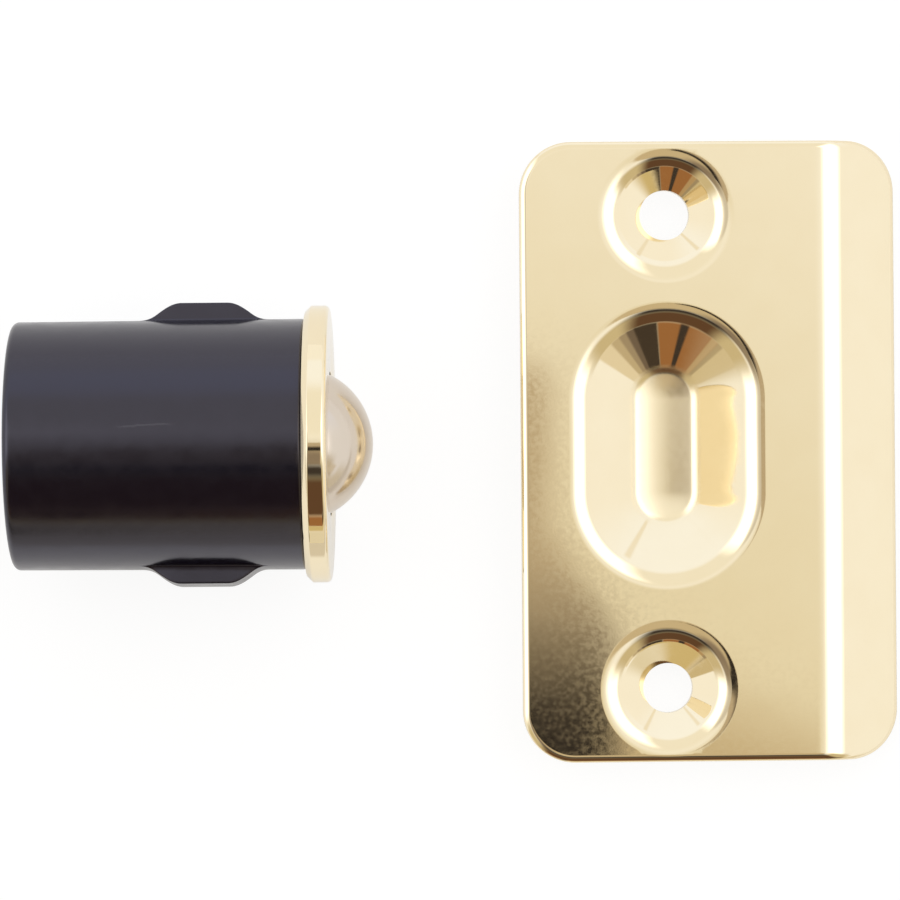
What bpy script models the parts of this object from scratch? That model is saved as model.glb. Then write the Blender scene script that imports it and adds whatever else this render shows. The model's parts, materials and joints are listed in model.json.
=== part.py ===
"""A drive-in ball catch and its full-lip strike, laid side by side on a flat surface.

The barrel lies on the rim of its face ring and on its back edge, with its axis along X
and the ball towards +X. The strike lies face up beside it, on the back of its pocket
and on the edge of its lip. Lengths are in metres, +Z is up and the surface is z = 0.
"""

import math

import bmesh
import bpy
from mathutils import Matrix

MM = 0.001

# Clearances
SEAT_GAP = 0.3 * MM  # between two pieces that rest on, or are pressed into, each other
BALL_GAP = 0.25 * MM  # all round the ball inside the face ring

# Barrel, a turned shape: z = 0 is the front of the face ring, and the ball is at +z
OVERALL_LENGTH = 28.6 * MM
BARREL_DIAMETER = 22.6 * MM
BARREL_DRAFT = 0.1 * MM  # how much smaller the radius is at the back
BARREL_BACK_ROUND = 0.6 * MM
BARREL_FRONT_CHAMFER = 0.25 * MM
BACK_WALL = 2.4 * MM
SPIGOT_HEIGHT = 2.0 * MM

# The two crush ribs on the barrel's sides
RIB_CENTRE = 11.3 * MM  # behind the front of the face ring
RIB_TOP_LENGTH = 4.2 * MM
RIB_RAMP_LENGTH = 3.8 * MM
RIB_HEIGHT = 1.5 * MM
RIB_WIDTH = 3.6 * MM
RIB_ROOT = 1.0 * MM  # how deep a rib starts inside the wall

# Face ring: a flange in front of the barrel and a skirt inside it
RING_DIAMETER = 25.0 * MM
FLANGE_THICKNESS = 2.2 * MM
FLANGE_FRONT_ROUND = 0.5 * MM
FLANGE_BACK_BEVEL = 0.55 * MM
SKIRT_WALL = 1.1 * MM
SKIRT_LENGTH = 7.0 * MM
SKIRT_CHAMFER = 0.3 * MM

# Ball and spring
BALL_DIAMETER = 14.0 * MM
BALL_PROJECTION = 3.8 * MM  # in front of the face ring, and the travel until it is flush
SPRING_WIRE = 1.0 * MM
SPRING_MEAN_DIAMETER = 9.0 * MM
SPRING_TURNS = 7
SPRING_END_PITCH = 1.15  # of the closed turn at each end, in wire diameters

# Strike, a pressed sheet: z = 0 is its face, x = 0 its straight edge, y = 0 its middle
STRIKE_HEIGHT = 57.15 * MM
STRIKE_WIDTH = 35.2 * MM  # with the lip, seen from the front
SHEET = 1.2 * MM
SHEET_EDGE_BEVEL = 0.25 * MM
STRIKE_CORNER = 4.5 * MM
LIP_CORNER = 4.6 * MM
LIP_REACH = 7.3 * MM  # of the lip with its bend, seen from the front
LIP_BEND_RADIUS = 3.8 * MM  # of the face side
LIP_ANGLE = math.radians(32.7)
FEATURE_OFFSET = 0.45 * MM  # of the pocket and the holes from the flat's middle, off the lip

# Pocket that takes the ball: a dish with straight sides between two half rounds
POCKET_RADIUS = 8.96 * MM  # where its shoulder leaves the face
POCKET_STRAIGHT = 8.5 * MM
POCKET_OFFSET = 0.55 * MM  # of the pocket's middle from the strike's, in y
POCKET_DEPTH = 3.8 * MM
POCKET_WALL_ANGLE = math.radians(35)
POCKET_SHOULDER = 2.8 * MM
POCKET_FLOOR_FILLET = 1.4 * MM

# Dimpled countersinks for the two screws
HOLE_SPACING = 43.7 * MM
HOLE_DIAMETER = 4.3 * MM
DIMPLE_RADIUS = 5.65 * MM
DIMPLE_DEPTH = 2.3 * MM  # down to the edge of the hole
DIMPLE_WALL_ANGLE = math.radians(38)
DIMPLE_SHOULDER = 1.6 * MM
DIMPLE_COINED_HEIGHT = 1.1 * MM  # of the hole's straight wall

# Where the two lie
LAYOUT_GAP = 17.56 * MM  # from the front of the face ring to the strike's straight edge
BARREL_SIDE_OFFSET = 0.95 * MM  # of the barrel's axis from the strike's middle, in y
BARREL_ROLL = math.radians(-6.5)

TURNED_STEPS = 64
DISH_STEPS = 48
BALL_SEGMENTS = 40
BALL_RINGS = 24
SPRING_POINTS_PER_TURN = 20
CUT_MARGIN = 2.0 * MM  # how far a cutter runs past what it cuts
MERGE = 0.00001

ball_radius = BALL_DIAMETER / 2
ball_z = BALL_PROJECTION - ball_radius
guide_radius = ball_radius + BALL_GAP
ring_radius = RING_DIAMETER / 2
skirt_radius = guide_radius + SKIRT_WALL
skirt_end_z = -FLANGE_THICKNESS - SKIRT_LENGTH
barrel_radius = BARREL_DIAMETER / 2
back_radius = barrel_radius - BARREL_DRAFT
barrel_front_z = -FLANGE_THICKNESS - SEAT_GAP
barrel_floor_z = BACK_WALL - OVERALL_LENGTH
spring_radius = SPRING_MEAN_DIAMETER / 2
spigot_radius = spring_radius - SPRING_WIRE / 2 - SEAT_GAP
strike_face_height = POCKET_DEPTH + SHEET
flat_width = STRIKE_WIDTH - LIP_REACH
feature_x = flat_width / 2 - FEATURE_OFFSET


def clear_scene():
    for obj in list(bpy.data.objects):
        bpy.data.objects.remove(obj, do_unlink=True)


def new_collection(name, parent=None):
    collection = bpy.data.collections.new(name)
    (parent or bpy.context.scene.collection).children.link(collection)
    return collection


def new_material(name, colour, roughness, metallic):
    material = bpy.data.materials.new(name)
    material.use_nodes = True
    shader = material.node_tree.nodes["Principled BSDF"]
    shader.inputs["Base Color"].default_value = (*colour, 1.0)
    shader.inputs["Roughness"].default_value = roughness
    shader.inputs["Metallic"].default_value = metallic
    return material


def new_object(name, data, collection, parent=None, material=None):
    obj = bpy.data.objects.new(name, data)
    collection.objects.link(obj)
    obj.parent = parent
    if material:
        data.materials.append(material)
    return obj


def mark_as_helper(obj):
    obj.hide_render = True
    obj.display_type = "WIRE"
    return obj


def arc(centre, radius, start, end, steps):
    """Points on an arc, both ends included. Angles are in radians."""
    return [
        (
            centre[0] + radius * math.cos(start + (end - start) * i / steps),
            centre[1] + radius * math.sin(start + (end - start) * i / steps),
        )
        for i in range(steps + 1)
    ]


def past(inner, outer, distance):
    """The point that lies this far beyond outer, on the line from inner."""
    length = math.dist(inner, outer)
    return (
        outer[0] + (outer[0] - inner[0]) * distance / length,
        outer[1] + (outer[1] - inner[1]) * distance / length,
    )


def turned(name, profile, closed, collection, parent=None, material=None, steps=TURNED_STEPS):
    """A profile of (radius, z) points, turned round z. Its outer side runs from top to bottom."""
    mesh = bpy.data.meshes.new(name)
    edges = [(i, i + 1) for i in range(len(profile) - 1)]
    if closed:
        edges.append((len(profile) - 1, 0))
    mesh.from_pydata([(r, 0.0, z) for r, z in profile], edges, [])
    obj = new_object(name, mesh, collection, parent, material)
    screw = obj.modifiers.new("turn", "SCREW")
    screw.axis = "Z"
    screw.steps = steps
    screw.render_steps = steps
    screw.use_merge_vertices = True
    screw.merge_threshold = MERGE
    screw.use_smooth_shade = True
    return obj


def as_mesh(obj):
    """The object replaced by the mesh that it evaluates to, with its seams welded."""
    bpy.context.view_layer.update()
    graph = bpy.context.evaluated_depsgraph_get()
    mesh = bpy.data.meshes.new_from_object(obj.evaluated_get(graph))
    welded = bmesh.new()
    welded.from_mesh(mesh)
    bmesh.ops.remove_doubles(welded, verts=welded.verts, dist=MERGE)
    bmesh.ops.recalc_face_normals(welded, faces=welded.faces)
    welded.to_mesh(mesh)
    welded.free()
    name, collection, parent, matrix = obj.name, obj.users_collection[0], obj.parent, obj.matrix_world.copy()
    bpy.data.objects.remove(obj, do_unlink=True)
    made = new_object(name, mesh, collection, parent)
    made.matrix_world = matrix
    return made


def flat_solid(name, outline, thickness, collection, parent=None):
    """A closed outline in the local XY plane, thickened equally to both sides."""
    curve = bpy.data.curves.new(name, "CURVE")
    curve.dimensions = "2D"
    curve.fill_mode = "BOTH"
    curve.extrude = thickness / 2
    spline = curve.splines.new("POLY")
    spline.points.add(len(outline) - 1)
    for point, (x, y) in zip(spline.points, outline):
        point.co = (x, y, 0.0, 1.0)
    spline.use_cyclic_u = True
    return as_mesh(new_object(name, curve, collection, parent))


def boolean(obj, operation, helpers):
    """One Boolean of the object with everything in a collection."""
    modifier = obj.modifiers.new(f"{operation.lower()} {helpers.name}", "BOOLEAN")
    modifier.operation = operation
    modifier.operand_type = "COLLECTION"
    modifier.collection = helpers
    modifier.solver = "EXACT"


def barrel_profile():
    """From the middle of the spigot out to the rim, and down the outside to the middle of the back."""
    bore = guide_radius
    seat = skirt_radius + SEAT_GAP
    seat_z = skirt_end_z - SEAT_GAP
    back_z = -OVERALL_LENGTH
    return [
        (0.0, barrel_floor_z + SPIGOT_HEIGHT),
        (spigot_radius, barrel_floor_z + SPIGOT_HEIGHT),
        (spigot_radius, barrel_floor_z),
        (bore, barrel_floor_z),
        (bore, seat_z),
        (seat, seat_z),
        (seat, barrel_front_z),
        (barrel_radius - BARREL_FRONT_CHAMFER, barrel_front_z),
        (barrel_radius, barrel_front_z - BARREL_FRONT_CHAMFER),
        *arc(
            (back_radius - BARREL_BACK_ROUND, back_z + BARREL_BACK_ROUND),
            BARREL_BACK_ROUND,
            0.0,
            -math.pi / 2,
            4,
        ),
        (0.0, back_z),
    ]


def rib_outline():
    """Seen from the side: a flat top between two ramps that ease in and out. x is along the barrel."""
    surface = back_radius
    top = RIB_TOP_LENGTH / 2
    end = top + RIB_RAMP_LENGTH
    steps = 10
    ramp = [
        (
            top + RIB_RAMP_LENGTH * i / steps,
            surface + RIB_HEIGHT * (1 + math.cos(math.pi * i / steps)) / 2,
        )
        for i in range(steps)
    ]
    foot = [(end, surface), (end, surface - RIB_ROOT)]
    right = ramp + foot
    left = [(-x, y) for x, y in reversed(right)]
    return right + left


def make_rib(name, side, helpers, parent):
    """One rib. side is +1 or -1, for the side of the barrel on local y."""
    rib = flat_solid(name, rib_outline(), RIB_WIDTH, helpers)
    along_barrel = Matrix.Rotation(-math.pi / 2, 4, "Y")
    rib.matrix_world = (
        Matrix.Translation((0.0, 0.0, -RIB_CENTRE))
        @ Matrix.Rotation(0.0 if side > 0 else math.pi, 4, "Z")
        @ along_barrel
    )
    rib.parent = parent
    return mark_as_helper(rib)


def make_barrel(collection, helpers, parent, material):
    barrel = turned("barrel", barrel_profile(), False, collection, parent, material)
    ribs = new_collection("ribs", helpers)
    make_rib("rib_near", -1, ribs, parent)
    make_rib("rib_far", 1, ribs, parent)
    boolean(barrel, "UNION", ribs)
    return barrel


def face_ring_profile():
    """From the front edge of the ball's hole out over the flange, down the skirt and up the ball's seat."""
    seat_start = math.atan2(-ball_z, math.sqrt(guide_radius**2 - ball_z**2))
    ball_seat = arc((0.0, ball_z), guide_radius, 0.0, seat_start, 5)
    flange_seat_radius = barrel_radius + SEAT_GAP / 2
    return [
        *arc(
            (ring_radius - FLANGE_FRONT_ROUND, -FLANGE_FRONT_ROUND),
            FLANGE_FRONT_ROUND,
            math.pi / 2,
            0.0,
            4,
        ),
        (ring_radius, FLANGE_BACK_BEVEL - FLANGE_THICKNESS),
        (ring_radius - FLANGE_BACK_BEVEL, -FLANGE_THICKNESS),
        (flange_seat_radius, -FLANGE_THICKNESS),
        (skirt_radius, -FLANGE_THICKNESS),
        (skirt_radius, skirt_end_z + SKIRT_CHAMFER),
        (skirt_radius - SKIRT_CHAMFER, skirt_end_z),
        (guide_radius, skirt_end_z),
        *ball_seat,
    ]


def make_ball(collection, parent, material):
    mesh = bpy.data.meshes.new("ball")
    sphere = bmesh.new()
    bmesh.ops.create_uvsphere(
        sphere, u_segments=BALL_SEGMENTS, v_segments=BALL_RINGS, radius=ball_radius
    )
    sphere.to_mesh(mesh)
    sphere.free()
    mesh.shade_smooth()
    ball = new_object("ball", mesh, collection, parent, material)
    ball.location = (0.0, 0.0, ball_z)
    return ball


def spring_ends():
    """Heights of the wire's centre at the back and at the front, where it seats on the ball."""
    back = barrel_floor_z + SEAT_GAP + SPRING_WIRE / 2
    reach = ball_radius + SEAT_GAP + SPRING_WIRE / 2
    front = ball_z - math.sqrt(reach**2 - spring_radius**2)
    return back, front


def spring_points():
    """A coil with one closed turn at each end and an even pitch between them."""
    back, front = spring_ends()
    end_rise = SPRING_END_PITCH * SPRING_WIRE
    open_rise = (front - back - 2 * end_rise) / (SPRING_TURNS - 2)
    points = []
    for i in range(SPRING_TURNS * SPRING_POINTS_PER_TURN + 1):
        turn = i / SPRING_POINTS_PER_TURN
        closed = min(turn, 1.0) + max(turn - (SPRING_TURNS - 1), 0.0)
        z = back + closed * end_rise + (turn - closed) * open_rise
        angle = 2 * math.pi * turn
        points.append((spring_radius * math.cos(angle), spring_radius * math.sin(angle), z))
    return points


def make_spring(collection, parent, material):
    curve = bpy.data.curves.new("spring", "CURVE")
    curve.dimensions = "3D"
    curve.bevel_depth = SPRING_WIRE / 2
    curve.bevel_resolution = 2
    curve.use_fill_caps = True
    points = spring_points()
    spline = curve.splines.new("POLY")
    spline.points.add(len(points) - 1)
    for point, place in zip(spline.points, points):
        point.co = (*place, 1.0)
    return new_object("spring", curve, collection, parent, material)


def sheet_section():
    """The strike's section, x across it and y up: flat, a bend, then the lip."""
    bend_centre = (flat_width, -LIP_BEND_RADIUS)
    face_end = math.pi / 2 - LIP_ANGLE
    face_bend = arc(bend_centre, LIP_BEND_RADIUS, math.pi / 2, face_end, 6)
    back_bend = arc(bend_centre, LIP_BEND_RADIUS - SHEET, face_end, math.pi / 2, 6)
    bend_x, bend_y = face_bend[-1]
    lip_run = STRIKE_WIDTH - bend_x
    tip = (STRIKE_WIDTH, bend_y - lip_run * math.tan(LIP_ANGLE))
    tip_back = (tip[0] - SHEET * math.sin(LIP_ANGLE), tip[1] - SHEET * math.cos(LIP_ANGLE))
    return [(0.0, 0.0), *face_bend, tip, tip_back, *back_bend, (0.0, -SHEET)]


def strike_outline():
    """The rounded rectangle that the strike is cut to, seen from the front."""
    half = STRIKE_HEIGHT / 2
    quarter = math.pi / 2
    outline = []
    for x_side, y_side, radius, start in (
        (1, 1, LIP_CORNER, 0.0),
        (-1, 1, STRIKE_CORNER, quarter),
        (-1, -1, STRIKE_CORNER, 2 * quarter),
        (1, -1, LIP_CORNER, 3 * quarter),
    ):
        x = STRIKE_WIDTH - radius if x_side > 0 else radius
        outline += arc((x, y_side * (half - radius)), radius, start, start + quarter, 8)
    return outline


def dish_wall(radius, depth, angle, shoulder, fillet, offset):
    """The (radius, z) line of a pressed dish, from its floor up to the face, moved into the metal
    by offset. The shoulder rounds down from the face, and the fillet rounds into the floor."""
    shoulder_centre = (radius, -shoulder)
    fillet_drop = fillet * (1 - math.cos(angle))
    shoulder_drop = shoulder * (1 - math.cos(angle))
    wall_run = (depth - fillet_drop - shoulder_drop) / math.tan(angle)
    floor_radius = radius - (shoulder + fillet) * math.sin(angle) - wall_run
    fillet_centre = (floor_radius, fillet - depth)
    down = -math.pi / 2
    up = math.pi / 2
    return [
        *arc(fillet_centre, fillet + offset, down, down + angle, 4),
        *arc(shoulder_centre, shoulder - offset, up + angle, up, 5),
    ]


def pull_apart(obj, straight):
    """Makes a turned shape longer in y, by moving its two halves apart."""
    half_step = math.pi / DISH_STEPS
    obj.data.transform(Matrix.Rotation(half_step, 4, "Z"))
    for vertex in obj.data.vertices:
        if abs(vertex.co.y) > MERGE:
            vertex.co.y += math.copysign(straight / 2, vertex.co.y)
    return obj


def dish_solid(name, profile, straight, y, helpers, parent):
    """A closed turned solid for the strike, from a profile that starts and ends on its axis."""
    solid = as_mesh(turned(name, profile, False, helpers, steps=DISH_STEPS))
    pull_apart(solid, straight)
    solid.location = (feature_x, y, 0.0)
    solid.parent = parent
    return mark_as_helper(solid)


def downward(profile):
    """A profile in the order that faces outwards: from its top on the axis to its bottom."""
    return list(reversed(profile))


def pocket_back(helpers, parent):
    wall = dish_wall(
        POCKET_RADIUS, POCKET_DEPTH, POCKET_WALL_ANGLE, POCKET_SHOULDER, POCKET_FLOOR_FILLET, SHEET
    )
    end = past(wall[-2], wall[-1], SHEET / 4)
    profile = [(0.0, wall[0][1]), *wall[:-1], end, (end[0], -SHEET / 2), (0.0, -SHEET / 2)]
    return dish_solid(
        "pocket_back", downward(profile), POCKET_STRAIGHT, POCKET_OFFSET, helpers, parent
    )


def pocket_hollow(helpers, parent):
    wall = dish_wall(
        POCKET_RADIUS, POCKET_DEPTH, POCKET_WALL_ANGLE, POCKET_SHOULDER, POCKET_FLOOR_FILLET, 0.0
    )
    end = past(wall[-2], wall[-1], SHEET / 4)
    profile = [(0.0, wall[0][1]), *wall[:-1], end, (end[0], CUT_MARGIN), (0.0, CUT_MARGIN)]
    return dish_solid(
        "pocket_hollow", downward(profile), POCKET_STRAIGHT, POCKET_OFFSET, helpers, parent
    )


def dimple_cone(offset):
    """The dimple's shoulder and cone, without a floor: (radius, z) from the face down."""
    centre = (DIMPLE_RADIUS, -DIMPLE_SHOULDER)
    up = math.pi / 2
    return arc(centre, DIMPLE_SHOULDER - offset, up, up + DIMPLE_WALL_ANGLE, 4)


def dimple_back(name, y, helpers, parent):
    bottom_z = -DIMPLE_DEPTH - DIMPLE_COINED_HEIGHT
    shoulder = dimple_cone(SHEET)
    foot_radius = shoulder[-1][0] - (shoulder[-1][1] - bottom_z) / math.tan(DIMPLE_WALL_ANGLE)
    end = past(shoulder[1], shoulder[0], SHEET / 4)
    profile = [
        (0.0, -SHEET / 2),
        (end[0], -SHEET / 2),
        end,
        *shoulder[1:],
        (foot_radius, bottom_z),
        (0.0, bottom_z),
    ]
    return dish_solid(name, profile, 0.0, y, helpers, parent)


def dimple_hollow(name, y, helpers, parent):
    shoulder = dimple_cone(0.0)
    end = past(shoulder[1], shoulder[0], SHEET / 4)
    through_z = -DIMPLE_DEPTH - DIMPLE_COINED_HEIGHT - CUT_MARGIN
    profile = [
        (0.0, CUT_MARGIN),
        (end[0], CUT_MARGIN),
        end,
        *shoulder[1:],
        (HOLE_DIAMETER / 2, -DIMPLE_DEPTH),
        (HOLE_DIAMETER / 2, through_z),
        (0.0, through_z),
    ]
    return dish_solid(name, profile, 0.0, y, helpers, parent)


def make_strike(collection, helpers, parent, material):
    strike = flat_solid("strike_plate", sheet_section(), STRIKE_HEIGHT + CUT_MARGIN, collection)
    strike.data.transform(Matrix.Rotation(math.pi / 2, 4, "X"))
    strike.parent = parent
    strike.data.materials.append(material)
    blanks = new_collection("blanks", helpers)
    backs = new_collection("backs", helpers)
    hollows = new_collection("hollows", helpers)
    blank = flat_solid("strike_blank", strike_outline(), 10 * CUT_MARGIN, blanks)
    blank.parent = parent
    mark_as_helper(blank)
    boolean(strike, "INTERSECT", blanks)
    bevel = strike.modifiers.new("edges", "BEVEL")
    bevel.width = SHEET_EDGE_BEVEL
    bevel.segments = 2
    bevel.limit_method = "ANGLE"
    bevel.angle_limit = math.radians(60)
    pocket_back(backs, parent)
    pocket_hollow(hollows, parent)
    for name, y in (("far", HOLE_SPACING / 2), ("near", -HOLE_SPACING / 2)):
        dimple_back(f"dimple_back_{name}", y, backs, parent)
        dimple_hollow(f"dimple_hollow_{name}", y, hollows, parent)
    boolean(strike, "UNION", backs)
    boolean(strike, "DIFFERENCE", hollows)
    return strike


def barrel_rest():
    """How the barrel lies: its tilt, the height of the face ring's front and its reach behind that."""
    ring_contact_z = FLANGE_BACK_BEVEL - FLANGE_THICKNESS
    back_contact_z = BARREL_BACK_ROUND - OVERALL_LENGTH
    tilt = math.atan2(ring_radius - back_radius, ring_contact_z - back_contact_z)
    height = ring_radius * math.cos(tilt) - ring_contact_z * math.sin(tilt)
    back_edge_radius = back_radius - BARREL_BACK_ROUND
    reach = OVERALL_LENGTH * math.cos(tilt) + back_edge_radius * math.sin(tilt)
    return tilt, height, reach


def main():
    clear_scene()
    parts = new_collection("ball_catch")
    helpers = new_collection("helpers")
    black_plastic = new_material("black_plastic", (0.022, 0.021, 0.026), 0.42, 0.0)
    brass_plate = new_material("brass_plate", (0.92, 0.79, 0.53), 0.16, 1.0)
    ball_steel = new_material("ball_steel", (0.80, 0.76, 0.72), 0.10, 1.0)
    spring_steel = new_material("spring_steel", (0.45, 0.45, 0.46), 0.30, 1.0)

    tilt, height, reach = barrel_rest()
    ring_x = reach - (reach + LAYOUT_GAP + STRIKE_WIDTH) / 2
    barrel_frame = new_object("barrel_frame", None, parts)
    barrel_frame.matrix_world = (
        Matrix.Translation((ring_x, BARREL_SIDE_OFFSET, height))
        @ Matrix.Rotation(math.pi / 2 - tilt, 4, "Y")
        @ Matrix.Rotation(BARREL_ROLL, 4, "Z")
    )
    strike_frame = new_object("strike_frame", None, parts)
    strike_frame.location = (ring_x + LAYOUT_GAP, 0.0, strike_face_height)

    make_barrel(parts, helpers, barrel_frame, black_plastic)
    turned("face_ring", face_ring_profile(), True, parts, barrel_frame, brass_plate)
    make_ball(parts, barrel_frame, ball_steel)
    make_spring(parts, barrel_frame, spring_steel)
    make_strike(parts, helpers, strike_frame, brass_plate)


main()
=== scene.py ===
"""The looks of a drive-in ball catch and its strike, seen from above on a white surface.

Every visible piece is a fine mesh that stands for a faceted solid of the frame. Lengths are
in metres. The barrel's own frame has z along its axis, with z = 0 at the front of the face
ring and the ball at +z. The strike's own frame has z = 0 at its face, x = 0 at its straight
edge and y = 0 in its middle.
"""

import json
import math

import bmesh
import bpy
import numpy as np
from mathutils import Matrix, Vector
from mathutils.geometry import delaunay_2d_cdt


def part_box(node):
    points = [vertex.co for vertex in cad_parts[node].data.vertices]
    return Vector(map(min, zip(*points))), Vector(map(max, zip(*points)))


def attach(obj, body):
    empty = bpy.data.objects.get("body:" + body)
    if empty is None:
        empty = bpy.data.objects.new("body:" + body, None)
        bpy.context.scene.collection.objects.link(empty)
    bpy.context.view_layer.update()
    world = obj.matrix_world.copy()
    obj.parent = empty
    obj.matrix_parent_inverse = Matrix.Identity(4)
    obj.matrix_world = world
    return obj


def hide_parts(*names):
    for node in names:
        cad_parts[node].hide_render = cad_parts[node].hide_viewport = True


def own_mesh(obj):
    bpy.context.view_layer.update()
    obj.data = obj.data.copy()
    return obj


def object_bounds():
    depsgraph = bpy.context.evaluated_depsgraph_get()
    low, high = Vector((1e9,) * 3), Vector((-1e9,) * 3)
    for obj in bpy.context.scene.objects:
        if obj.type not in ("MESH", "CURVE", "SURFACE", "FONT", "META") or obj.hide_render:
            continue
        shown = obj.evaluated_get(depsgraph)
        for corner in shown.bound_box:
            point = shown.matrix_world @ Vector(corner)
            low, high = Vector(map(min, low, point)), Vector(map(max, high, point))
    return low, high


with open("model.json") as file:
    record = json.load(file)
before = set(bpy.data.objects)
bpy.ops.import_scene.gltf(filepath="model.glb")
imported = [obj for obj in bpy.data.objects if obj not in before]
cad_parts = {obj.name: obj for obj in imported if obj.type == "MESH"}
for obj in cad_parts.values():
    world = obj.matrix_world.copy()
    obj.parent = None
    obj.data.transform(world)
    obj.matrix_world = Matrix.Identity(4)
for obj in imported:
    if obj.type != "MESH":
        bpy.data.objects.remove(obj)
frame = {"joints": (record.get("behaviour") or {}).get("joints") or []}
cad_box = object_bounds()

MM = 0.001

# Barrel and its ribs
BARREL_RADIUS = 11.3 * MM
BARREL_DRAFT = 0.1 * MM
BARREL_LENGTH = 28.59 * MM  # from the front of the face ring
BARREL_BACK_ROUND = 0.6 * MM
BARREL_FRONT_ROUND = 0.25 * MM
BARREL_FRONT = 2.25 * MM  # behind the front of the face ring
BACK_WALL = 2.4 * MM
BORE_RADIUS = 7.25 * MM
SEAT_RADIUS = 8.65 * MM
SEAT_DEPTH = 9.5 * MM
SPIGOT_RADIUS = 3.7 * MM
SPIGOT_HEIGHT = 2.0 * MM
SPIGOT_CHAMFER = 0.3 * MM
RIB_CENTRE = 11.3 * MM
RIB_TOP_LENGTH = 4.2 * MM
RIB_RAMP_LENGTH = 4.4 * MM
RIB_HEIGHT = 1.5 * MM
RIB_SINK = 0.6 * MM  # of its ends below the barrel's skin
RIB_HALF_WIDTH = 1.8 * MM
RIB_SOFTNESS = 0.16 * MM
RIB_FOOT_SOFTNESS = 0.5 * MM
RIB_SIDE_DRAFT = math.radians(4)
BARREL_ROLL = math.radians(-6.5)
# A scuff on the barrel: its middle, in the frame's x and y, and its length
SCUFF_ALONG = -28.3 * MM
SCUFF_SIDE = 2.45 * MM
SCUFF_LENGTH = 6.0 * MM

# Face ring
RING_RADIUS = 12.49 * MM
FLANGE_THICKNESS = 2.2 * MM
FLANGE_FRONT_ROUND = 0.45 * MM
FLANGE_BACK_BEVEL = 0.55 * MM
FLANGE_EDGE_ROUND = 0.12 * MM
SKIRT_RADIUS = 8.35 * MM
SKIRT_END = 9.2 * MM
GUIDE_RADIUS = 7.25 * MM
RING_STEPS = 256
# How far past its two rounds the rim has a row of points that keeps it flat
RIM_FRONT_ROW = 0.05 * MM
RIM_BACK_ROW = 0.11 * MM

# Ball and spring
BALL_PROJECTION = 3.8 * MM
SPRING_WIRE_RADIUS = 0.5 * MM
SPRING_RADIUS = 4.5 * MM
SPRING_TURNS = 7
SPRING_END_RISE = 1.15 * MM
SEAT_GAP = 0.3 * MM

# Strike
SHEET = 1.2 * MM
STRIKE_CORNER = 4.8 * MM
LIP_CORNER = 4.6 * MM
LIP_START = 28.1 * MM
LIP_BEND_RADIUS = 3.8 * MM
LIP_EASE = 1.0 * MM  # how far the bend's curve runs out beyond a plain arc, at each end
LIP_ANGLE = math.radians(32.4)
FEATURE_X = 13.5 * MM
EDGE_ROLL_WIDTH = 0.7 * MM
EDGE_ROLL_DEPTH = 0.35 * MM
EDGE_BACK_BEVEL = 0.1 * MM

POCKET_RADIUS = 8.4 * MM  # where its shoulder meets the sheet that is drawn in round it
POCKET_STRAIGHT = 8.5 * MM
POCKET_OFFSET = 0.55 * MM  # of its middle from the strike's, in y
POCKET_DEPTH = 3.65 * MM
POCKET_WALL_ANGLE = math.radians(33.5)
POCKET_SHOULDER = 3.3 * MM
POCKET_FILLET = 1.4 * MM
POCKET_FLOOR_RADIUS = 20.0 * MM  # of the floor's slight hollow
POCKET_DRAW_IN = 0.7 * MM
POCKET_DRAW_ANGLE = math.radians(8.9)

HOLE_SPACING = 43.7 * MM
HOLE_RADIUS = 2.3 * MM
HOLE_DEPTH = 2.05 * MM
HOLE_BOTTOM = 3.1 * MM
HOLE_LAND_RADIUS = 2.75 * MM
DIMPLE_WALL_ANGLE = math.radians(37)
DIMPLE_SHOULDER = 2.35 * MM
DIMPLE_DRAW_IN = 1.05 * MM
DIMPLE_DRAW_ANGLE = math.radians(9.6)

# Spacing of the strike's points
DISH_SPACING = 0.24 * MM
STRAIGHT_SPACING = 0.6 * MM
POCKET_STEPS = 112
DIMPLE_STEPS = 80

# Camera: almost straight down, a little from the barrel's side
CAMERA_TILT = math.radians(2.0)
CAMERA_DISTANCE = 432.8 * MM
CAMERA_LENS = 188.4
CAMERA_SENSOR = 36.0
CAMERA_ROLL = math.radians(0.47)
CAMERA_FROM_STRIKE = 6.56 * MM  # how far the middle of the view is from its straight edge
CAMERA_RISE = 0.31 * MM  # of the middle of the view above the strike's middle

# Frames of the two halves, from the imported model
joints = {joint["name"]: joint for joint in frame["joints"]}
forward = -Vector(joints["ball_press"]["axis"]).normalized()
ball_centre = Vector(joints["ball_roll"]["pos_m"])
ball_low, ball_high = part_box("ball")
ball_radius = (ball_high.y - ball_low.y) / 2
ring_front = ball_centre + forward * (ball_radius - BALL_PROJECTION)
barrel_tilt = math.atan2(forward.z, forward.x)
barrel_matrix = (
    Matrix.Translation(ring_front)
    @ Matrix.Rotation(math.pi / 2 - barrel_tilt, 4, "Y")
    @ Matrix.Rotation(BARREL_ROLL, 4, "Z")
)
strike_low, strike_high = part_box("strike_plate")
strike_middle_y = (strike_low.y + strike_high.y) / 2
strike_matrix = Matrix.Translation((strike_low.x, strike_middle_y, strike_high.z))
strike_width = strike_high.x - strike_low.x
strike_half_height = (strike_high.y - strike_low.y) / 2


def add_object(name, mesh, matrix):
    mesh.transform(matrix)
    obj = bpy.data.objects.new(name, mesh)
    bpy.context.scene.collection.objects.link(obj)
    return obj


def smooth_mesh(name, points, faces, sharp_angle=None):
    mesh = bpy.data.meshes.new(name)
    mesh.from_pydata([tuple(p) for p in points], [], faces)
    mesh.shade_smooth()
    if sharp_angle:
        mesh.set_sharp_from_angle(angle=sharp_angle)
    return mesh


def arc(centre, radius, start, end, steps):
    """Points on an arc, both ends included, as (across, up) pairs."""
    angles = [start + (end - start) * i / steps for i in range(steps + 1)]
    return [(centre[0] + radius * math.cos(a), centre[1] + radius * math.sin(a)) for a in angles]


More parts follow.
